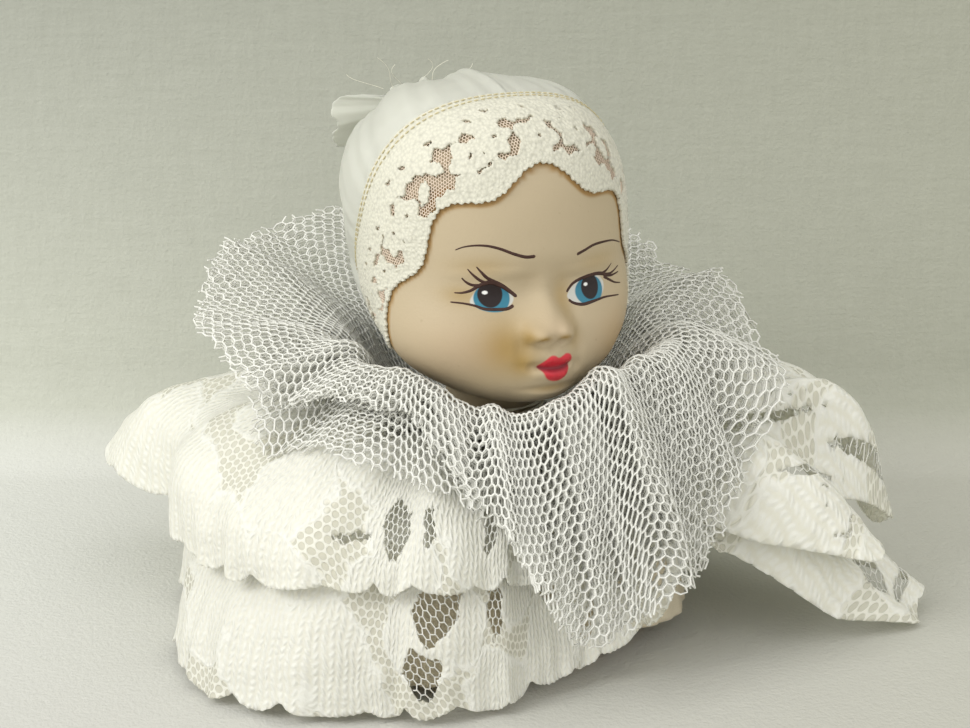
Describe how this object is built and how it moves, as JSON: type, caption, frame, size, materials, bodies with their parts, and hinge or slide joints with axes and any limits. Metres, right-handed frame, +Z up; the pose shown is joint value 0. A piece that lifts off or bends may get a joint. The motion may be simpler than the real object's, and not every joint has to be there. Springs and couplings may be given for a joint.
{
  "type": "ceramic doll",
  "caption": "Small painted ceramic doll head with a lace-banded bonnet, tied to a stuffed cloth body dressed in gathered net ruffs and lace tiers; the head turns at the neck.",
  "frame": {"origin": "middle of the flat underside of the cloth body", "axes": "+Z up along the neck, the face at rest looks along -Y, +X toward the doll's left"},
  "size_m": [0.1444, 0.118, 0.111],
  "materials": {
    "bisque": "unglazed painted bisque, matt skin tone with painted eyes, brows and lips",
    "satin": "sheer white satin",
    "lace": "cream floral machine lace",
    "net": "ivory net with raw edges",
    "cotton": "plain white woven cloth",
    "muslin": "tan muslin",
    "stuffing": "loose fibre filling",
    "thread": "cotton sewing thread"
  },
  "bodies": {
    "torso": {"body_bag": "muslin", "stuffing": "stuffing", "neck_cord": "thread", "underskirt": "cotton", "lace_tier_lower": "lace", "lace_tier_upper": "lace", "ruff_lower": "net", "ruff_upper": "net", "ruff_thread": "thread"},
    "head": {"head_shell": "bisque", "bonnet_crown": "satin", "bonnet_lace_band": "lace", "crown_tie": "thread"}
  },
  "joints": [
    {"name": "head_turn", "type": "hinge", "parent": "torso", "child": "head", "pos_m": [0, 0, 0.04], "axis": [0, 0, 1], "range_deg": [-60, 60]}
  ]
}
